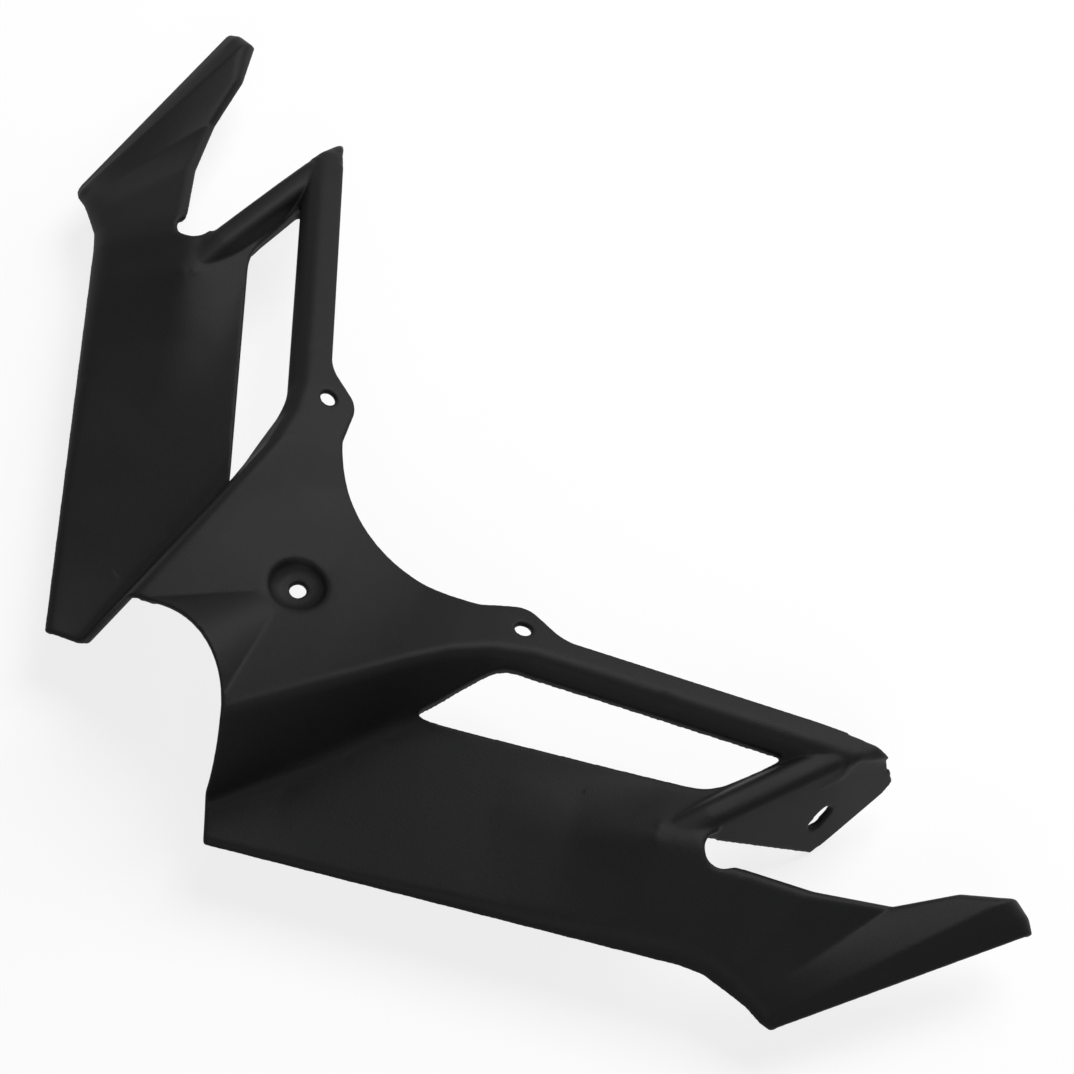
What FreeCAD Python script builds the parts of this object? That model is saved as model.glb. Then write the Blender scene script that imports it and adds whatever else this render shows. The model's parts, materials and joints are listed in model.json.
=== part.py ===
import FreeCAD, Part
import math
import os
from FreeCAD import Vector

# Overall moulding, millimetres and degrees
WALL = 2.6
SWEEP = 38.7
REACH = 150.0

# Crest line between the riser and the panel or bar, along the wing run
PANEL_END = -13.0
CREST_FRONT_AFT = -52.9
CREST_SLOPE = 0.675
CREST_BAR_AFT = -3.5
CREST_BEND = 25.0
CREST_HEIGHT = 10.0
CREST_FALL_START = 52.0
CREST_FALL = 0.107
CREST_FALL_BEND = 12.5
CREST_ROUND = 5.0
DROOP_START = 218.0
DROOP_BEND = 10.0
BAR_DROOP = 0.5
RISER_STEEPNESS = 2.25
BAR_STEEPNESS = 1.2
FOOT_ROUND = 7.0
FOOT_ROUND_LIMIT = 0.7

# Panel and bar behind the crest
PANEL_FALL = 0.08
BAR_FALL = 0.30
BAR_START = 48.0
PANEL_DEPTH = 60.0
BAR_REAR_AFT = 7.5
BAR_REAR_START = 102.0

# Blade in front of the riser; shares are inner and outer ones of the chord from lip to foot
BLADE_FRONT_AFT = -93.2
BLADE_FRONT_HEIGHT = -32.3
BLADE_FRONT_RISE = 0.026
BLADE_INNER_PITCH = 0.03
BLADE_PITCH = 0.17
MIDDLE_SHARE_INNER = 0.35
MIDDLE_SHARE_OUTER = 0.50
REAR_SHARE_INNER = 0.45
REAR_SHARE_OUTER = 0.80
MIDDLE_ROUND = 0.25
REAR_ROUND = 0.20
BUMP_START = 85.0
BUMP_END = 150.0
BUMP_HEIGHT = 9.9
LIP_INNER = 2.4
LIP_OUTER = 6.0
LIP_LEAN = 0.6
LIP_ROUND = 0.8
LIP_START = 40.0
SEAM = 169.0
SEAM_LEAD = 150.0
SEAM_INSET = 0.26
WING_STATIONS = [-32.0, PANEL_END, 15.0, 45.0, 60.0, 75.0, 90.0, 120.0, SEAM_LEAD, SEAM, 200.0, DROOP_START, 245.0]

# Ribs of the blade's tip: front foot, rear foot, front lip and rear lip
TIP_RIBS = [
    (Vector(197.6, 38.1, -29.0), Vector(173.6, 68.0, -15.5), 6.0, 4.0),
    (Vector(205.0, 41.0, -31.0), Vector(199.0, 90.0, -22.5), 6.0, 5.0),
    (Vector(215.0, 44.5, -33.5), Vector(220.0, 114.0, -30.0), 5.0, 4.0),
    (Vector(219.5, 45.5, -35.5), Vector(232.0, 137.0, -27.0), 4.5, 5.0),
    (Vector(222.5, 46.0, -36.5), Vector(246.0, 153.0, -27.0), 3.5, 8.5),
    (Vector(224.5, 47.0, -37.5), Vector(254.0, 152.0, -28.0), 2.6, 6.0),
    (Vector(226.5, 48.0, -38.5), Vector(259.0, 149.5, -29.5), 2.6, 3.0),
]

# Notch between the blade's tip and the strut, by places along and behind the wing run
NOTCH_APEX = Vector(165.1, -51.6, 0)
NOTCH_FRONT = Vector(178.0, -55.5, 0)
NOTCH_ROUND = 9.0

# Arch, rear arc and tab of the panel
ARCH_RADIUS = 43.0
ARCH_TOP = -43.2
ARCH_ANGLE = 63.0
BLADE_CORNER = Vector(56.0, -80.0, 0)
REAR_RADIUS = 69.0
REAR_TOP = 36.5
REAR_ANGLE = 39.0
TAB_CORNER = Vector(54.0, 66.5, 0)
TAB_END = Vector(73.0, 68.2, 0)
TAB_ROUND = 5.0

# Window between the blade and the bar
WINDOW_FRONT_AFT = -29.0
WINDOW_REAR_AFT = -9.0
WINDOW_FRONT_START = 53.0
WINDOW_REAR_START = 80.0
WINDOW_FRONT_END = 166.0
WINDOW_REAR_END = 191.0
WINDOW_ROUND = 8.0
WINDOW_SHARP_ROUND = 4.0

# Strut strip and hanging end wall; places on the wall are along the strut and up
STRUT_ANGLE = 80.0
STRUT_START = Vector(149.3, 60.7, 0)
STRUT_HEIGHT = -8.2
STRUT_FALL = 0.005
STRUT_WIDTH = 8.6
STRUT_ROUND = 3.2
STRUT_LENGTH = 112.0
STRUT_LEAD = 18.0
STRUT_DIVE = 9.0
STRUT_LEVEL = 12.0
STRUT_DROOP = 0.3
STRUT_DROOP_START = 70.0
STRUT_STATIONS = [-STRUT_LEAD, -3.0, STRUT_LEVEL, 50.0, 68.0, 88.0, STRUT_LENGTH]
INNER_WALL_DROP = 12.0
INNER_WALL_RUN = 5.5
END_WALL_DROP = 62.0
END_WALL_LEAN = 0.27
END_WALL_START = Vector(-19.0, -16.2, 0)
END_WALL_FRONT = Vector(9.0, -16.0, 0)
END_WALL_LOW = Vector(60.0, -58.0, 0)
END_WALL_REAR = Vector(99.0, -42.0, 0)
END_WALL_ROUND = 8.0
OUTSIDE_START = 14.0
BAR_END = Vector(80.5, STRUT_HEIGHT, 0)
BAR_END_BEND = Vector(93.0, -15.5, 0)
SLOT_CENTRE = Vector(62.0, -37.5, 0)
SLOT_WIDTH = 6.6
SLOT_LENGTH = 12.0
SLOT_ANGLE = 48.0

# Holes and recess
HOLE = 6.6
SIDE_HOLE = Vector(61.4, 58.2, 0)
RECESS_FLOOR = 9.5
RECESS_RIM = 13.0

# Nose vault between the recess and the arch
NOSE_START = -14.0
NOSE_START_HALF = 6.0
NOSE_END = -54.0
NOSE_END_HALF = 27.0
NOSE_RISE = 0.31
NOSE_SINK = 1.0


def ramp(value, start, end):
    """Share from 0 to 1 of the way from start to end."""
    return min(1.0, max(0.0, (value - start) / (end - start)))


def blend(first, second, share):
    """Value between two others."""
    return first + (second - first) * share


def knee(distance, reach):
    """Zero before a bend, the distance after it, and a parabola over the reach on both sides."""
    if distance <= -reach:
        return 0.0
    if distance >= reach:
        return distance
    return (distance + reach) ** 2 / (4.0 * reach)


def wing(along, aft, height=0.0):
    """Point of the right half from its place along and behind the wing run."""
    sweep = math.radians(SWEEP)
    x = along * math.cos(sweep) - aft * math.sin(sweep)
    y = along * math.sin(sweep) + aft * math.cos(sweep)
    return Vector(x, y, height)


def strut_at(along, across, height):
    """Point of the right half from its place along and across the strut."""
    angle = math.radians(STRUT_ANGLE)
    run = Vector(math.cos(angle), math.sin(angle), 0)
    side = Vector(math.sin(angle), -math.cos(angle), 0)
    return STRUT_START + run * along + side * across + Vector(0, 0, height)


def same(point):
    """Point left as it is."""
    return point


def bent_edges(corners, place):
    """Lines between corners and one soft bend over each corner of three points."""
    edges = []
    last = corners[0][-1]
    for corner in corners[1:]:
        edges.append(Part.makeLine(place(last), place(corner[0])))
        if len(corner) == 3:
            bend = Part.BezierCurve()
            bend.setPoles([place(c) for c in corner])
            edges.append(bend.toShape())
        last = corner[-1]
    return edges


def bent_corner(before, corner, after, reach):
    """Start, corner and end of a soft bend between two lines."""
    to_last = (before - corner).normalize()
    to_next = (after - corner).normalize()
    return corner + to_last * reach, corner, corner + to_next * reach


def ribbon(points, rounds, place):
    """Closed thin section: a softly bent line above, and one wall below it a line with flat bends."""
    count = len(points)
    steps = [(points[i + 1] - points[i]).normalize() for i in range(count - 1)]
    downs = [Vector(s.y, -s.x, 0) * WALL for s in steps]
    upper = [(points[0],)]
    lower = [(points[0] + downs[0],)]
    for i in range(1, count - 1):
        bend = bent_corner(points[i - 1], points[i], points[i + 1], rounds[i - 1])
        half = (downs[i - 1] + downs[i]).normalize()
        inner = points[i] + half * (WALL * WALL / half.dot(downs[i]))
        upper.append(bend)
        lower.append(((inner + bend[0] + downs[i - 1]) * 0.5,))
        lower.append(((inner + bend[2] + downs[i]) * 0.5,))
    upper.append((points[-1],))
    lower.append((points[-1] + downs[-1],))
    edges = bent_edges(upper, place)
    edges.append(Part.makeLine(place(points[-1]), place(lower[-1][0])))
    edges += bent_edges(lower[::-1], place)
    edges.append(Part.makeLine(place(lower[0][0]), place(points[0])))
    return Part.Wire(edges)


def crest_aft(along):
    """Place of the crest behind the wing run: a diagonal beside the panel, then straight."""
    along = max(along, PANEL_END)
    bend = (CREST_BAR_AFT - CREST_FRONT_AFT) / CREST_SLOPE
    return CREST_BAR_AFT + CREST_SLOPE * (along - bend - knee(along - bend, CREST_BEND))


def crest_height(along):
    """Height of the crest: level beside the panel, falling along the bar, drooping at its end."""
    fall = CREST_FALL * knee(along - CREST_FALL_START, CREST_FALL_BEND)
    return CREST_HEIGHT - fall - BAR_DROOP * knee(along - DROOP_START, DROOP_BEND)


def crest_point(along):
    return Vector(crest_aft(along), crest_height(along), 0)


def back_point(along):
    """Far end of the panel's or bar's slope behind the crest."""
    crest = crest_point(along)
    fall = blend(PANEL_FALL, BAR_FALL, ramp(along, 0.0, BAR_START))
    return Vector(PANEL_DEPTH, crest.y - fall * (PANEL_DEPTH - crest.x), 0)


def front_point(along):
    """Lower front edge of the blade, which sinks with the crest past the seam of the tip."""
    sunk = crest_height(SEAM) - crest_height(max(along, SEAM))
    return Vector(BLADE_FRONT_AFT, BLADE_FRONT_HEIGHT + BLADE_FRONT_RISE * along - sunk, 0)


def foot_point(along):
    """Corner where the blade's slope meets the riser below the crest."""
    front = front_point(along)
    crest = crest_point(along)
    pitch = blend(BLADE_INNER_PITCH, BLADE_PITCH, ramp(along, PANEL_END, BAR_START))
    steep = blend(RISER_STEEPNESS, BAR_STEEPNESS, ramp(along, BAR_START, 2.0 * BAR_START))
    run = (crest.y - front.y - pitch * (crest.x - front.x)) / (steep - pitch)
    return Vector(crest.x - run, crest.y - steep * run, 0)


def lip_height(along):
    return blend(LIP_INNER, LIP_OUTER, ramp(along, LIP_START, SEAM))


def blade_points(along):
    """Upper line of the blade from its front edge to the foot of the riser."""
    front = front_point(along)
    lip = lip_height(along)
    lip_top = front + Vector(LIP_LEAN * lip, lip, 0)
    chord = foot_point(along) - lip_top
    share = ramp(along, 0.5 * BAR_START, 2.0 * BAR_START)
    bump = Vector(0, BUMP_HEIGHT * ramp(along, BUMP_START, BUMP_END) ** 2, 0)
    middle = lip_top + chord * blend(MIDDLE_SHARE_INNER, MIDDLE_SHARE_OUTER, share) + bump
    rear = lip_top + chord * blend(REAR_SHARE_INNER, REAR_SHARE_OUTER, share)
    return [front, lip_top, middle, rear, foot_point(along)]


def wing_section(along):
    """Thin section across the wing from the front lip over the crest to the panel."""
    blade = blade_points(along)
    gap = (blade[3] - blade[2]).Length
    foot_round = min(FOOT_ROUND, FOOT_ROUND_LIMIT * (blade[4] - blade[3]).Length)
    rounds = [LIP_ROUND * lip_height(along), MIDDLE_ROUND * gap, REAR_ROUND * gap, foot_round, CREST_ROUND]

    def place(point):
        return wing(along, point.x, point.y)

    return ribbon(blade + [crest_point(along), back_point(along)], rounds, place)


def wing_skin():
    return Part.makeLoft([wing_section(a) for a in WING_STATIONS], True, True)


def prism(wire):
    """Upright block over a closed outline, through the whole height."""
    face = Part.Face(wire)
    face.translate(Vector(0, 0, -REACH))
    return face.extrude(Vector(0, 0, 2.0 * REACH))


def soft_outline(points, rounds):
    """Closed outline with a soft bend at each corner."""
    count = len(points)
    corners = [bent_corner(points[i - 1], points[i], points[(i + 1) % count], rounds[i]) for i in range(count)]
    return Part.Wire(bent_edges([(corners[0][2],)] + corners[1:] + [corners[0]], same))


def circle_point(radius, top, angle, side):
    """Point on a circle about the middle plane whose nearest point to the panel is at top."""
    turn = math.radians(angle)
    centre = top - side * radius
    return Vector(radius * math.sin(turn), centre + side * radius * math.cos(turn), 0)


def arch_cutter():
    """Space in front of the panel, between the two blades."""
    ends = [circle_point(ARCH_RADIUS, ARCH_TOP, a, 1) for a in (0.0, 0.5 * ARCH_ANGLE, ARCH_ANGLE)]
    away = [Vector(BLADE_CORNER.x, -REACH, 0), Vector(0, -REACH, 0)]
    sides = Part.makePolygon([ends[2], BLADE_CORNER] + away + [ends[0]]).Edges
    return prism(Part.Wire([Part.Arc(*ends).toShape()] + sides))


def rear_cutter():
    """Space behind the panel, its tab and the bar."""
    ends = [circle_point(REAR_RADIUS, REAR_TOP, a, -1) for a in (0.0, 0.5 * REAR_ANGLE, REAR_ANGLE)]
    bar_start = wing(BAR_REAR_START, BAR_REAR_AFT)
    bar_end = wing(2.0 * REACH, BAR_REAR_AFT)
    tab = [bent_corner(ends[2], TAB_CORNER, TAB_END, TAB_ROUND),
           bent_corner(TAB_CORNER, TAB_END, bar_start, TAB_ROUND)]
    edges = [Part.Arc(*ends).toShape()] + bent_edges([(ends[2],)] + tab + [(bar_end,)], same)
    edges += Part.makePolygon([bar_end, Vector(0, 4.0 * REACH, 0), ends[0]]).Edges
    return prism(Part.Wire(edges))


def window_cutter():
    """Long opening between the blade and the bar."""
    points = [wing(WINDOW_FRONT_START, WINDOW_FRONT_AFT), wing(WINDOW_FRONT_END, WINDOW_FRONT_AFT),
              wing(WINDOW_REAR_END, WINDOW_REAR_AFT), wing(WINDOW_REAR_START, WINDOW_REAR_AFT)]
    return prism(soft_outline(points, [WINDOW_SHARP_ROUND, WINDOW_ROUND] * 2))


def notch_cutter():
    """Space between the blade's tip and the strut, with a round inner end."""
    apex = wing(NOTCH_APEX.x, NOTCH_APEX.y)
    front = (wing(NOTCH_FRONT.x, NOTCH_FRONT.y) - apex).normalize()
    run = strut_at(1.0, 0.0, 0.0) - strut_at(0.0, 0.0, 0.0)
    points = [apex, apex + front * REACH, apex + (front + run) * REACH, apex + run * REACH]
    return prism(soft_outline(points, [NOTCH_ROUND] * 4))


def wing_side(start, end, front, rear):
    """Upright block over a stretch of the wing run."""
    points = [wing(start, front), wing(end, front), wing(end, rear), wing(start, rear)]
    return prism(Part.makePolygon(points + points[:1]))


def tip_rib(front, rear, front_lip, rear_lip):
    """Thin upright section of the blade's tip from its front lip to its rear lip."""
    run = Vector(rear.x - front.x, rear.y - front.y, 0)
    length = run.Length
    run.normalize()
    points = [Vector(0, front.z, 0), Vector(LIP_LEAN * front_lip, front.z + front_lip, 0),
              Vector(length - LIP_LEAN * rear_lip, rear.z + rear_lip, 0), Vector(length, rear.z, 0)]

    def place(point):
        return Vector(front.x, front.y, point.y) + run * point.x

    return ribbon(points, [LIP_ROUND * front_lip, LIP_ROUND * rear_lip], place)


def seam_rib(along):
    """Front part of the wing section, as the start of the tip."""
    blade = blade_points(along)
    run = (blade[2] - blade[1]).normalize()
    rear = blade[2] - run * (SEAM_INSET * (blade[3] - blade[2]).Length)

    def place(point):
        return wing(along, point.x, point.y)

    points = blade[:2] + [rear - run * WALL, rear]
    return ribbon(points, [LIP_ROUND * lip_height(along), LIP_ROUND * WALL], place)


def blade_tip():
    """Outer end of the blade, swept back to a raised fin."""
    ribs = [seam_rib(SEAM_LEAD), seam_rib(SEAM)] + [tip_rib(*rib) for rib in TIP_RIBS]
    return Part.makeLoft(ribs, True, True).cut(wing_side(0.0, SEAM, -REACH, REACH))


def strut_section(along):
    """Thin section across the strut: inner wall, strip on top and hanging outer wall."""
    dive = STRUT_DIVE * ramp(-along, -STRUT_LEVEL, STRUT_LEAD) ** 2
    droop = STRUT_DROOP * knee(along - STRUT_DROOP_START, DROOP_BEND)
    height = STRUT_HEIGHT - STRUT_FALL * along - dive - droop
    low = height - END_WALL_DROP
    points = [Vector(-INNER_WALL_RUN, height - INNER_WALL_DROP, 0), Vector(0, height, 0),
              Vector(STRUT_WIDTH, height, 0), Vector(STRUT_WIDTH + END_WALL_LEAN * END_WALL_DROP, low, 0)]

    def place(point):
        return strut_at(along, point.x, point.y)

    return ribbon(points, [STRUT_ROUND, STRUT_ROUND], place)


def on_side(point):
    """Place on the inner side of the strut from its place along the strut and its height."""
    return strut_at(point.x, -REACH, point.y)


def strut_block(wire, reach):
    """Block across the strut over a side outline."""
    across = strut_at(0.0, 1.0, 0.0) - strut_at(0.0, 0.0, 0.0)
    return Part.Face(wire).extrude(across * reach)


def under_wall():
    """Space below the end wall's slanting lower edges."""
    far = 2.0 * REACH
    points = [END_WALL_START, END_WALL_FRONT, END_WALL_LOW, END_WALL_REAR, Vector(far, END_WALL_REAR.y, 0),
              Vector(far, -REACH, 0), Vector(END_WALL_START.x, -REACH, 0)]
    return strut_block(Part.makePolygon([on_side(p) for p in points + points[:1]]), 2.0 * REACH)


def bar_end_cutter():
    """Space behind the bar's end, which turns down into the round rear corner of the end wall."""
    top = Vector(END_WALL_REAR.x, END_WALL_REAR.y + END_WALL_ROUND, 0)
    corner = bent_corner(top, END_WALL_REAR, END_WALL_LOW, END_WALL_ROUND)
    far = 2.0 * REACH
    away = [Vector(far, corner[2].y, 0), Vector(far, CREST_HEIGHT, 0), Vector(BAR_END.x, CREST_HEIGHT, 0)]
    edges = []
    for poles in ((BAR_END, BAR_END_BEND, top), corner):
        bend = Part.BezierCurve()
        bend.setPoles([on_side(p) for p in poles])
        edges.append(bend.toShape())
    edges += Part.makePolygon([on_side(p) for p in [corner[2]] + away + [BAR_END]]).Edges
    return strut_block(Part.Wire(edges), REACH + 4.0 * STRUT_WIDTH)


def slot():
    """Slotted hole through the end wall, slanting down towards the front."""
    turn = math.radians(SLOT_ANGLE)
    run = Vector(math.cos(turn), math.sin(turn), 0)
    side = Vector(-run.y, run.x, 0) * (0.5 * SLOT_WIDTH)
    nose = run * (0.5 * SLOT_WIDTH)
    half = run * (0.5 * (SLOT_LENGTH - SLOT_WIDTH))
    high = SLOT_CENTRE + half
    low = SLOT_CENTRE - half
    ends = [on_side(p) for p in (high - side, low - side, low - nose, low + side, high + side, high + nose)]
    edges = [Part.makeLine(ends[0], ends[1]), Part.Arc(*ends[1:4]).toShape(),
             Part.makeLine(ends[3], ends[4]), Part.Arc(ends[4], ends[5], ends[0]).toShape()]
    return strut_block(Part.Wire(edges), 2.0 * REACH)


def strut():
    """Raised strip from the bar to the blade with its inner wall and its hanging end wall."""
    shape = Part.makeLoft([strut_section(a) for a in STRUT_STATIONS], True, True)
    return shape.cut(under_wall()).cut(slot())


def outside_wall():
    """Space outside the end wall's outer face, along the rear of the strut."""
    high = STRUT_WIDTH - END_WALL_LEAN * (CREST_HEIGHT - STRUT_HEIGHT)
    low = STRUT_WIDTH + END_WALL_LEAN * (STRUT_HEIGHT + REACH)
    corners = [strut_at(OUTSIDE_START, high, CREST_HEIGHT), strut_at(OUTSIDE_START, low, -REACH),
               strut_at(OUTSIDE_START, REACH, -REACH), strut_at(OUTSIDE_START, REACH, CREST_HEIGHT)]
    run = strut_at(1.0, 0.0, 0.0) - strut_at(0.0, 0.0, 0.0)
    return Part.Face(Part.makePolygon(corners + corners[:1])).extrude(run * (2.0 * REACH))


def panel_height(x, y):
    """Height of the panel's upper face at a plan place of the right half."""
    sweep = math.radians(SWEEP)
    along = x * math.cos(sweep) + y * math.sin(sweep)
    aft = y * math.cos(sweep) - x * math.sin(sweep)
    crest = crest_point(along)
    back = back_point(along)
    return blend(crest.y, back.y, (aft - crest.x) / (back.x - crest.x))


def above_panel():
    """Space over the panel, from its upper face."""
    lines = []
    for along in [a for a in WING_STATIONS if a < BAR_START]:
        crest = crest_point(along)
        back = back_point(along)
        edge = Part.makeLine(wing(along, crest.x, crest.y), wing(along, back.x, back.y))
        lines.append(Part.Wire([edge]))
    return Part.makeLoft(lines, False, True).extrude(Vector(0, 0, REACH))


def turned(profile):
    """Solid turned about the centre hole from a half profile."""
    face = Part.Face(Part.makePolygon(profile + profile[:1]))
    return face.revolve(Vector(0, 0, 0), Vector(0, 0, 1), 360)


def recess_space():
    """Open space over the recess floor."""
    return turned([Vector(0, 0, 0), Vector(RECESS_FLOOR, 0, 0), Vector(RECESS_RIM, 0, CREST_HEIGHT),
                   Vector(0, 0, CREST_HEIGHT)])


def recess_cup():
    """Round sunk seat of the centre hole, up to the panel's own face."""
    cup = turned([Vector(0, 0, 0), Vector(RECESS_FLOOR, 0, 0), Vector(RECESS_RIM, 0, CREST_HEIGHT),
                  Vector(RECESS_RIM + WALL, 0, CREST_HEIGHT), Vector(RECESS_FLOOR + WALL, 0, -WALL),
                  Vector(0, 0, -WALL)])
    return cup.cut(above_panel())


def nose_section(y):
    """Half of one thin vault section, from the middle plane to its sunk side."""
    half = blend(NOSE_START_HALF, NOSE_END_HALF, ramp(y, NOSE_START, NOSE_END))
    side = panel_height(half, y) - NOSE_SINK
    top = panel_height(0.0, NOSE_START) + NOSE_RISE * (NOSE_START - y)
    radius = (half ** 2 + (top - side) ** 2) / (2.0 * (top - side))
    turn = 0.5 * math.asin(half / radius)
    upper = [Vector(0, y, top), Vector(radius * math.sin(turn), y, top - radius * (1 - math.cos(turn))),
             Vector(half, y, side)]
    lower = [v - Vector(0, 0, WALL) for v in upper]
    return Part.Wire([Part.Arc(*upper).toShape(), Part.makeLine(upper[2], lower[2]),
                      Part.Arc(*reversed(lower)).toShape(), Part.makeLine(lower[0], upper[0])])


def nose_vault():
    """Rising vault from the recess to the arch."""
    middle = 0.5 * (NOSE_START + NOSE_END)
    vault = Part.makeLoft([nose_section(y) for y in (NOSE_START, middle, NOSE_END)], True, False)
    return vault.cut(arch_cutter())


def nose_footprint():
    """Part of the panel that the vault stands in for."""
    points = [Vector(-WALL, NOSE_START - WALL, 0), Vector(NOSE_START_HALF - WALL, NOSE_START - WALL, 0),
              Vector(NOSE_END_HALF - WALL, NOSE_END, 0), Vector(-WALL, NOSE_END, 0)]
    return prism(Part.makePolygon(points + points[:1]))


def side_hole():
    """Bore of the tab, square to the panel there."""
    step = 0.5
    height = panel_height(SIDE_HOLE.x, SIDE_HOLE.y)
    slope_x = (panel_height(SIDE_HOLE.x + step, SIDE_HOLE.y) - height) / step
    slope_y = (panel_height(SIDE_HOLE.x, SIDE_HOLE.y + step) - height) / step
    axis = Vector(-slope_x, -slope_y, 1).normalize()
    start = Vector(SIDE_HOLE.x, SIDE_HOLE.y, height) - axis * (4.0 * WALL)
    return Part.makeCylinder(0.5 * HOLE, 8.0 * WALL, start, axis)


def centre_hole():
    return Part.makeCylinder(0.5 * HOLE, 4.0 * WALL, Vector(0, 0, -2.0 * WALL))


def trimmed_skin():
    """Wing skin inside its outline, with room for the vault and the tip."""
    skin = wing_skin().cut(arch_cutter()).cut(rear_cutter()).cut(notch_cutter())
    side = blend(NOTCH_APEX.y, NOTCH_FRONT.y, ramp(SEAM, NOTCH_APEX.x, NOTCH_FRONT.x))
    skin = skin.cut(wing_side(SEAM, 2.0 * REACH, -2.0 * REACH, side))
    return skin.cut(outside_wall()).cut(nose_footprint())


def half_shell():
    """Right half of the moulding, up to the middle plane."""
    skin = trimmed_skin().fuse(nose_vault()).cut(recess_space())
    shape = skin.fuse([recess_cup(), blade_tip(), strut().cut(rear_cutter())])
    shape = shape.cut(window_cutter()).cut(bar_end_cutter())
    shape = shape.cut(side_hole()).cut(centre_hole())
    corner = Vector(-2.0 * REACH, -2.0 * REACH, -2.0 * REACH)
    return shape.cut(Part.makeBox(2.0 * REACH, 4.0 * REACH, 4.0 * REACH, corner))


def main():
    half = half_shell()
    whole = half.fuse(half.mirror(Vector(0, 0, 0), Vector(1, 0, 0)))
    os.makedirs("parts", exist_ok=True)
    whole.exportStep("parts/winglet_shell.step")


main()
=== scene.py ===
"""Looks of a motorcycle winglet: one grained black moulding on a pale studio floor."""
import json
import logging
import math
from dataclasses import dataclass, field
from enum import Enum
from typing import Any

import bpy
from mathutils import Matrix, Vector

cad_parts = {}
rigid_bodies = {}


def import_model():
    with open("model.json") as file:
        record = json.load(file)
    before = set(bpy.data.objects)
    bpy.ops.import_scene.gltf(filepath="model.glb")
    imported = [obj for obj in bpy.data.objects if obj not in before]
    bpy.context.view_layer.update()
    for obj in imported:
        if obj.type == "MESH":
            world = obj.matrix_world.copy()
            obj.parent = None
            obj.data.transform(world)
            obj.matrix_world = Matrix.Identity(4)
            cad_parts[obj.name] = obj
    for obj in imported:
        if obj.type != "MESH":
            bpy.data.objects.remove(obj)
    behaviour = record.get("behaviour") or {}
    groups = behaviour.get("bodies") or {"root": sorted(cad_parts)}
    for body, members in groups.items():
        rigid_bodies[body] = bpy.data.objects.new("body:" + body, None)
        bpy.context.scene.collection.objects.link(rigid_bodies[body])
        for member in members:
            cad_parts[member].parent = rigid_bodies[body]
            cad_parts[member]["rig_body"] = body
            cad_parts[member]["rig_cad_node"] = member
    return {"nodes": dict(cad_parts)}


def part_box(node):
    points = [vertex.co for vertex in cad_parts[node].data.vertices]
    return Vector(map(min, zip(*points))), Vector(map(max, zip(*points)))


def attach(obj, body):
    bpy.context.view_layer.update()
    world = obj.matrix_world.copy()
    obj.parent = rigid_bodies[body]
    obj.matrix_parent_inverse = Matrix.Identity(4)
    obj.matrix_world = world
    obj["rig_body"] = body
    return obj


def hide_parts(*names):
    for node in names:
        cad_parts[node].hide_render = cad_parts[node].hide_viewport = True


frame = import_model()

LOG = logging.getLogger("winglet")
BODY = "root"
MILLIMETRE = 0.001
TRIANGLES_PER_FACE = 2.0


class Signal:
    """A shader socket that takes part in Python arithmetic."""

    def __init__(self, maker: "NodeMaker", socket: bpy.types.NodeSocket) -> None:
        """Keeps the tree's maker beside the socket.

        Args:
            maker: Maker of the tree that the socket is in.
            socket: Output socket that is wrapped.
        """
        self.maker = maker
        self.socket = socket

    def _math(self, operation: str, first: Any, second: Any) -> "Signal":
        """Adds one Math node.

        Args:
            operation: Name of the Math node's operation.
            first: Number or signal on the left.
            second: Number or signal on the right.

        Returns:
            The node's result.
        """
        return self.maker.node("ShaderNodeMath", {"operation": operation}, {0: first, 1: second})

    def __add__(self, other: Any) -> "Signal":
        """Sum of two values."""
        return self._math("ADD", self, other)

    def __radd__(self, other: Any) -> "Signal":
        """Sum with a number on the left."""
        return self._math("ADD", other, self)

    def __sub__(self, other: Any) -> "Signal":
        """Difference of two values."""
        return self._math("SUBTRACT", self, other)

    def __rsub__(self, other: Any) -> "Signal":
        """Difference with a number on the left."""
        return self._math("SUBTRACT", other, self)

    def __mul__(self, other: Any) -> "Signal":
        """Product of two values."""
        return self._math("MULTIPLY", self, other)

    def __rmul__(self, other: Any) -> "Signal":
        """Product with a number on the left."""
        return self._math("MULTIPLY", other, self)


class NodeMaker:
    """Builds one node tree from Python calls."""

    def __init__(self, tree: bpy.types.NodeTree) -> None:
        """Starts from an emptied tree.

        Args:
            tree: Node tree of a material or a world.
        """
        self.tree = tree
        self.tree.nodes.clear()

    def node(self, kind: str, settings: dict[str, Any] | None = None,
             inputs: dict[int | str, Any] | None = None, output: int | str = 0) -> Signal:
        """Adds a node of any type.

        Args:
            kind: Type name of the node.
            settings: Properties of the node, set first; "stops" fills a colour ramp.
            inputs: Numbers, colours or signals by socket name or number.
            output: Name or number of the output that is handed back.

        Returns:
            The chosen output as a signal.
        """
        made = self.tree.nodes.new(kind)
        for name, value in (settings or {}).items():
            if name == "stops":
                self._fill_ramp(made.color_ramp, value)
            else:
                setattr(made, name, value)
        for name, value in (inputs or {}).items():
            if isinstance(value, Signal):
                self.tree.links.new(value.socket, made.inputs[name])
            else:
                made.inputs[name].default_value = value
        return Signal(self, made.outputs[output]) if made.outputs else Signal(self, None)

    @staticmethod
    def _fill_ramp(ramp: bpy.types.ColorRamp, stops: list[tuple[float, float]]) -> None:
        """Sets a grey ramp's stops.

        Args:
            ramp: The ramp of a colour ramp node.
            stops: Pairs of place and grey level.
        """
        while len(ramp.elements) < len(stops):
            ramp.elements.new(1.0)
        for element, (place, level) in zip(ramp.elements, stops):
            element.position = place
            element.color = (level, level, level, 1.0)


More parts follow.
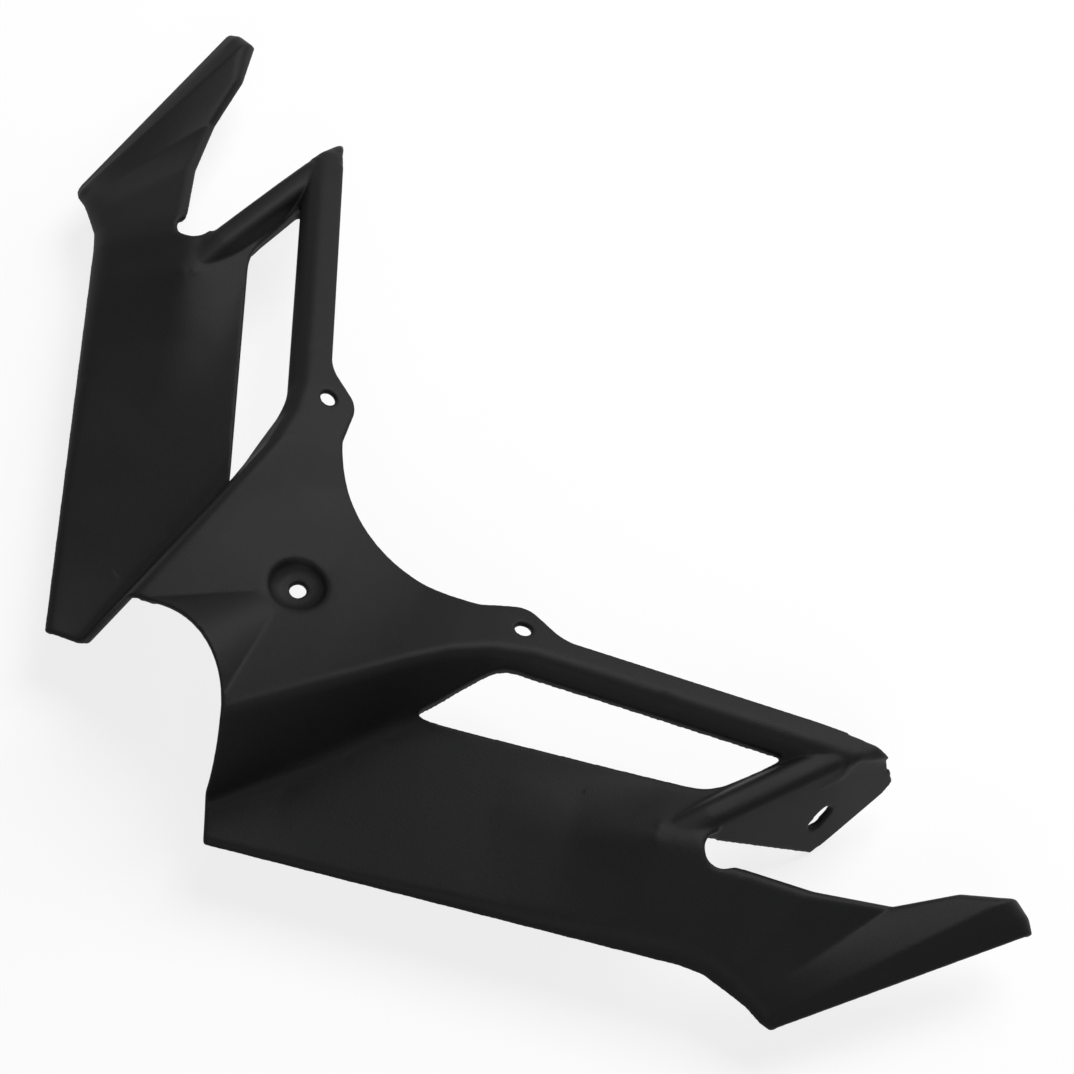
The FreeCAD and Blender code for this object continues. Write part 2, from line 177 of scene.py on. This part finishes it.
def seen_share(maker: NodeMaker) -> Signal:
    """Tells rays that show the background from rays that carry its light.

    Args:
        maker: Maker of the tree that asks.

    Returns:
        One for camera, glossy and transmission rays, and zero for the rest.
    """
    camera = maker.node("ShaderNodeLightPath", output="Is Camera Ray")
    glossy = maker.node("ShaderNodeLightPath", output="Is Glossy Ray")
    through = maker.node("ShaderNodeLightPath", output="Is Transmission Ray")
    return camera + glossy + through


def rising(span: tuple[float, float]) -> list[tuple[float, float]]:
    """Stops of a ramp that rises from black to white.

    Args:
        span: Places of the black and the white stop.

    Returns:
        Pairs of place and grey level.
    """
    return [(span[0], 0.0), (span[1], 1.0)]


@dataclass(frozen=True)
class GrainedPlastic:
    """Matte black moulding plastic with a fine spark-eroded grain."""

    name: str = "grained_black_plastic"
    colour: tuple[float, float, float] = (0.0026, 0.0027, 0.003)
    worn_colour: tuple[float, float, float] = (0.0061, 0.0062, 0.0068)
    roughness: float = 0.5
    roughness_spread: float = 0.1
    specular: float = 0.093
    grain_per_metre: float = 1700.0
    cloud_per_metre: float = 46.0
    grain_depth: float = 0.1 * MILLIMETRE
    grain_strength: float = 0.6
    speck_share: float = 0.65
    grain_detail: float = 2.0
    grain_roughness: float = 0.6
    speck_range: tuple[float, float] = (0.38, 0.66)
    cloud_detail: float = 3.0
    cloud_roughness: float = 0.5
    patch_range: tuple[float, float] = (0.35, 0.7)
    noise_middle: float = 0.5

    def material(self) -> bpy.types.Material:
        """Makes the plastic's material.

        Returns:
            A material that reads Object coordinates only.
        """
        material = bpy.data.materials.new(self.name)
        material.use_nodes = True
        maker = NodeMaker(material.node_tree)
        place = maker.node("ShaderNodeTexCoord", output="Object")
        grain = maker.node("ShaderNodeTexNoise", {}, {
            "Vector": place, "Scale": self.grain_per_metre,
            "Detail": self.grain_detail, "Roughness": self.grain_roughness})
        cloud = maker.node("ShaderNodeTexNoise", {}, {
            "Vector": place, "Scale": self.cloud_per_metre,
            "Detail": self.cloud_detail, "Roughness": self.cloud_roughness})
        patches = maker.node("ShaderNodeValToRGB", {"stops": rising(self.patch_range)}, {"Fac": cloud})
        specks = maker.node("ShaderNodeValToRGB", {"stops": rising(self.speck_range)}, {"Fac": grain})
        worn = specks * self.speck_share + patches * (1.0 - self.speck_share)
        colour = maker.node("ShaderNodeMix", {"data_type": "RGBA"}, {
            0: worn, 6: (*self.colour, 1.0), 7: (*self.worn_colour, 1.0)}, output=2)
        roughness = self.roughness + (cloud - self.noise_middle) * self.roughness_spread
        relief = maker.node("ShaderNodeBump", {}, {
            "Strength": self.grain_strength, "Distance": self.grain_depth, "Height": grain})
        shader = maker.node("ShaderNodeBsdfPrincipled", {}, {
            "Base Color": colour, "Roughness": roughness, "Normal": relief,
            "Specular IOR Level": self.specular})
        maker.node("ShaderNodeOutputMaterial", {}, {"Surface": shader})
        return material


@dataclass(frozen=True)
class StudioPaper:
    """Plain pale paper of the floor."""

    name: str = "studio_paper"
    colour: tuple[float, float, float] = (0.9, 0.9, 0.9)
    white_share: float = 0.8

    def material(self) -> bpy.types.Material:
        """Makes the paper's material, which looks nearly white but keeps a soft shadow.

        Returns:
            A dull white material.
        """
        material = bpy.data.materials.new(self.name)
        material.use_nodes = True
        maker = NodeMaker(material.node_tree)
        dull = maker.node("ShaderNodeBsdfDiffuse", {}, {"Color": (*self.colour, 1.0)})
        white = maker.node("ShaderNodeEmission", {}, {"Color": (1.0, 1.0, 1.0, 1.0), "Strength": 1.0})
        shader = maker.node("ShaderNodeMixShader", {}, {
            0: seen_share(maker) * self.white_share, 1: dull, 2: white})
        maker.node("ShaderNodeOutputMaterial", {}, {"Surface": shader})
        return material


def deselect_all() -> None:
    """Leaves object mode with nothing selected."""
    if bpy.context.object and bpy.context.object.mode != "OBJECT":
        bpy.ops.object.mode_set(mode="OBJECT")
    bpy.ops.object.select_all(action="DESELECT")


def activate(piece: bpy.types.Object) -> None:
    """Makes one object the only selected and the active one.

    Args:
        piece: Object that the next operators act on.
    """
    deselect_all()
    piece.select_set(True)
    bpy.context.view_layer.objects.active = piece


def apply_modifier(piece: bpy.types.Object, kind: str, **settings: Any) -> None:
    """Adds a modifier, sets it and applies it.

    Args:
        piece: Object to change.
        kind: Type of the modifier.
        **settings: Properties of the modifier.
    """
    activate(piece)
    modifier = piece.modifiers.new(kind.lower(), kind)
    for name, value in settings.items():
        setattr(modifier, name, value)
    bpy.ops.object.modifier_apply(modifier=modifier.name)


class Side(Enum):
    """Wing that a feature is on, by the sign of its place along the span."""

    RIGHT = 1.0
    LEFT = -1.0


@dataclass(frozen=True)
class SoftSpot:
    """A place where the moulding's edges are rounder than elsewhere."""

    what: str
    place: tuple[float, float, float]
    inner: float
    outer: float
    passes: int

    def chosen(self, piece: bpy.types.Object) -> list[int]:
        """Finds the vertices between the spot's two radii.

        Args:
            piece: The moulding.

        Returns:
            Numbers of the vertices.
        """
        centre = Vector(self.place)
        return [vertex.index for vertex in piece.data.vertices
                if self.inner < (vertex.co - centre).length < self.outer]


@dataclass
class WingletShell:
    """The one-piece moulding, with its edges softened as a mould leaves them."""

    node: str = "winglet_shell"
    slot: str = "shell"
    finish: GrainedPlastic = field(default_factory=GrainedPlastic)
    weld: float = 0.002 * MILLIMETRE
    cell: float = 0.42 * MILLIMETRE
    swell: float = 0.15 * MILLIMETRE
    softening: float = 0.5
    edge_passes: int = 24
    flat_passes: int = 200
    edge_angle: float = 3.0
    edge_margin: int = 4
    triangles: int = 190_000
    recess_floor: float = 9.5 * MILLIMETRE
    recess_seat: float = 6.8 * MILLIMETRE
    near: float = 0.05 * MILLIMETRE
    notch_bottom: tuple[float, float] = (168.6 * MILLIMETRE, 68.2 * MILLIMETRE)
    notch_round: float = 6.6 * MILLIMETRE
    notch_depth: float = 200.0 * MILLIMETRE
    notch_sides: int = 96
    spots: tuple[SoftSpot, ...] = (
        SoftSpot("recess rim", (0.0, 0.0, 0.0), 5.0 * MILLIMETRE, 17.0 * MILLIMETRE, 60),
        SoftSpot("right bar end", (0.1745, 0.144, -0.018), 0.0, 16.0 * MILLIMETRE, 160),
        SoftSpot("left bar end", (-0.1745, 0.144, -0.018), 0.0, 16.0 * MILLIMETRE, 160),
        SoftSpot("right bar top", (0.1138, 0.0853, -0.002), 0.0, 4.0 * MILLIMETRE, 150),
        SoftSpot("left bar top", (-0.0821, 0.0684, 0.0027), 0.0, 4.0 * MILLIMETRE, 150),
        SoftSpot("right notch", (0.168, 0.065, -0.011), 0.0, 13.0 * MILLIMETRE, 60),
        SoftSpot("left notch", (-0.168, 0.065, -0.011), 0.0, 13.0 * MILLIMETRE, 60),
    )

    def build(self) -> bpy.types.Object:
        """Copies the solid's mesh, joins its loose triangles and rounds its edges.

        Returns:
            The finished moulding.
        """
        piece = self._welded_copy()
        self._ease_recess(piece)
        for side in Side:
            self._round_notch(piece, side)
        apply_modifier(piece, "REMESH", mode="VOXEL", voxel_size=self.cell, use_smooth_shade=True)
        apply_modifier(piece, "DISPLACE", strength=self.swell, mid_level=0.0, direction="NORMAL")
        apply_modifier(piece, "SMOOTH", factor=self.softening, iterations=self.edge_passes)
        for spot in self.spots:
            LOG.info("softening the %s", spot.what)
            self._smooth_group(piece, spot.chosen(piece), spot.passes)
        self._smooth_group(piece, self._flat_places(piece), self.flat_passes)
        share = self.triangles / (TRIANGLES_PER_FACE * len(piece.data.polygons))
        if share < 1.0:
            apply_modifier(piece, "DECIMATE", decimate_type="COLLAPSE", ratio=share)
        activate(piece)
        bpy.ops.object.shade_smooth()
        return piece

    def _round_notch(self, piece: bpy.types.Object, side: Side) -> None:
        """Cuts the bottom of one notch to a clean round.

        Args:
            piece: The welded copy.
            side: Wing that the notch is in.
        """
        across, back = self.notch_bottom
        deselect_all()
        bpy.ops.mesh.primitive_cylinder_add(
            vertices=self.notch_sides, radius=self.notch_round, depth=self.notch_depth,
            location=(side.value * across, back, 0.0))
        cutter = bpy.context.object
        apply_modifier(piece, "BOOLEAN", operation="DIFFERENCE", solver="EXACT", object=cutter)
        activate(cutter)
        bpy.ops.object.delete()

    def _flat_places(self, piece: bpy.types.Object) -> list[int]:
        """Finds the broad faces, clear of every edge and bend.

        Args:
            piece: The softened moulding.

        Returns:
            Numbers of the vertices on broad faces.
        """
        activate(piece)
        bpy.ops.object.mode_set(mode="EDIT")
        bpy.ops.mesh.select_mode(type="EDGE")
        bpy.ops.mesh.select_all(action="DESELECT")
        bpy.ops.mesh.edges_select_sharp(sharpness=math.radians(self.edge_angle))
        for _ in range(self.edge_margin):
            bpy.ops.mesh.select_more()
        bpy.ops.mesh.select_all(action="INVERT")
        bpy.ops.mesh.select_mode(type="VERT")
        bpy.ops.object.mode_set(mode="OBJECT")
        return [vertex.index for vertex in piece.data.vertices if vertex.select]

    def _smooth_group(self, piece: bpy.types.Object, chosen: list[int], passes: int) -> None:
        """Smooths some of the vertices and leaves the others.

        Args:
            piece: The softened moulding.
            chosen: Numbers of the vertices to smooth.
            passes: How often they are smoothed.
        """
        LOG.info("%d places smoothed %d times", len(chosen), passes)
        group = piece.vertex_groups.new(name="chosen")
        group.add(chosen, 1.0, "REPLACE")
        apply_modifier(piece, "SMOOTH", factor=self.softening, iterations=passes, vertex_group=group.name)
        piece.vertex_groups.clear()

    def _ease_recess(self, piece: bpy.types.Object) -> None:
        """Draws the recess floor in, so that its wall slopes gently up to the panel.

        Args:
            piece: The welded copy.
        """
        activate(piece)
        for vertex in piece.data.vertices:
            radius = math.hypot(vertex.co.x, vertex.co.y)
            on_ring = abs(radius - self.recess_floor) < self.near
            vertex.select = on_ring and abs(vertex.co.z) < self.near
        bpy.ops.object.mode_set(mode="EDIT")
        bpy.ops.mesh.select_mode(type="VERT")
        share = self.recess_seat / self.recess_floor
        bpy.ops.transform.resize(value=(share, share, 1.0), center_override=(0.0, 0.0, 0.0))
        bpy.ops.object.mode_set(mode="OBJECT")

    def _welded_copy(self) -> bpy.types.Object:
        """Makes a merged copy of the solid with a mesh of its own.

        Returns:
            A closed copy at the solid's place.
        """
        activate(frame["nodes"][self.node])
        bpy.ops.object.duplicate(linked=False)
        piece = bpy.context.object
        piece.name = "moulded_" + self.node
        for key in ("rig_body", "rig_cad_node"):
            if key in piece:
                del piece[key]
        bpy.ops.object.mode_set(mode="EDIT")
        bpy.ops.mesh.select_all(action="SELECT")
        bpy.ops.mesh.remove_doubles(threshold=self.weld)
        bpy.ops.mesh.select_all(action="DESELECT")
        bpy.ops.object.mode_set(mode="OBJECT")
        return piece

    def dress(self, piece: bpy.types.Object) -> None:
        """Gives the moulding its finish and its place in the part.

        Args:
            piece: The finished moulding.
        """
        piece.data.materials.clear()
        piece.data.materials.append(self.finish.material())
        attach(piece, BODY)
        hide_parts(self.node)


class LampRole(Enum):
    """What a softbox is there for."""

    KEY = "key"
    FILL = "fill"
    RIM = "rim"


@dataclass(frozen=True)
class Softbox:
    """One square soft light."""

    role: LampRole
    place: tuple[float, float, float]
    size: float
    watts: float

    def build(self, target: Vector) -> bpy.types.Object:
        """Adds the lamp.

        Args:
            target: Point that the lamp faces.

        Returns:
            The lamp's object.
        """
        deselect_all()
        bpy.ops.object.light_add(type="AREA", location=self.place)
        lamp = bpy.context.object
        lamp.name = self.role.value + "_softbox"
        lamp.data.shape = "SQUARE"
        lamp.data.size = self.size
        lamp.data.energy = self.watts
        lamp.rotation_euler = (target - Vector(self.place)).to_track_quat("-Z", "Y").to_euler()
        return lamp


@dataclass
class Studio:
    """Floor, soft light and world round the part."""

    floor_size: float = 8.0
    floor_gap: float = 0.4 * MILLIMETRE
    paper: StudioPaper = field(default_factory=StudioPaper)
    ambient: float = 0.04
    softboxes: tuple[Softbox, ...] = (
        Softbox(LampRole.KEY, (-0.3, 0.9, 1.5), 1.0, 28.0),
        Softbox(LampRole.RIM, (0.0, 1.5, 0.8), 1.0, 12.0),
        Softbox(LampRole.FILL, (1.0, -0.9, 1.0), 1.0, 7.0),
    )

    def build(self, low: Vector, high: Vector) -> bpy.types.Object:
        """Adds the floor under the part, the lamps over it and the white world.

        Args:
            low: Lowest corner of the part's box.
            high: Highest corner of the part's box.

        Returns:
            The floor.
        """
        deselect_all()
        bpy.ops.mesh.primitive_plane_add(size=self.floor_size, location=(0.0, 0.0, 0.0))
        floor = bpy.context.object
        floor.name = "studio_floor"
        bpy.ops.object.mode_set(mode="EDIT")
        bpy.ops.mesh.select_all(action="SELECT")
        bpy.ops.transform.translate(value=(0.0, 0.0, low.z - self.floor_gap))
        bpy.ops.object.mode_set(mode="OBJECT")
        floor.data.materials.append(self.paper.material())
        for softbox in self.softboxes:
            softbox.build((low + high) / 2.0)
        self._light_world()
        return floor

    def _light_world(self) -> None:
        """Makes a world that is white to look at and lights the part softly."""
        world = bpy.data.worlds.new("studio_world")
        bpy.context.scene.world = world
        world.use_nodes = True
        maker = NodeMaker(world.node_tree)
        strength = self.ambient + seen_share(maker) * (1.0 - self.ambient)
        shader = maker.node("ShaderNodeBackground", {}, {"Color": (1.0, 1.0, 1.0, 1.0), "Strength": strength})
        maker.node("ShaderNodeOutputWorld", {}, {"Surface": shader})


@dataclass(frozen=True)
class ViewCamera:
    """Camera at the photograph's place."""

    place: tuple[float, float, float] = (0.304, -0.253, 0.716)
    forward: tuple[float, float, float] = (-0.324, 0.407, -0.854)
    right: tuple[float, float, float] = (0.618, 0.775, 0.1345)
    lens: float = 73.74
    sensor: float = 36.0

    def build(self) -> bpy.types.Object:
        """Adds the camera and makes it the scene's own.

        Returns:
            The camera's object.
        """
        deselect_all()
        bpy.ops.object.camera_add()
        camera = bpy.context.object
        camera.name = "view_camera"
        camera.data.lens = self.lens
        camera.data.sensor_width = self.sensor
        forward = Vector(self.forward).normalized()
        right = Vector(self.right)
        right = (right - forward * right.dot(forward)).normalized()
        up = right.cross(forward)
        turn = Matrix((right, up, -forward)).transposed().to_4x4()
        camera.matrix_world = Matrix.Translation(Vector(self.place)) @ turn
        bpy.context.scene.camera = camera
        return camera


def main() -> None:
    """Builds the moulding, the studio and the camera, and logs what each came to."""
    logging.basicConfig(level=logging.INFO, format="%(name)s: %(message)s")
    bpy.context.scene.view_settings.view_transform = "Standard"
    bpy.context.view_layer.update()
    shell = WingletShell()
    piece = shell.build()
    shell.dress(piece)
    LOG.info("%s: %d faces", piece.name, len(piece.data.polygons))
    low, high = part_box(shell.node)
    floor = Studio().build(low, high)
    LOG.info("%s at %.4f m", floor.name, low.z)
    camera = ViewCamera().build()
    LOG.info("%s with a %.1f mm lens", camera.name, camera.data.lens)


if __name__ == "__main__":
    main()
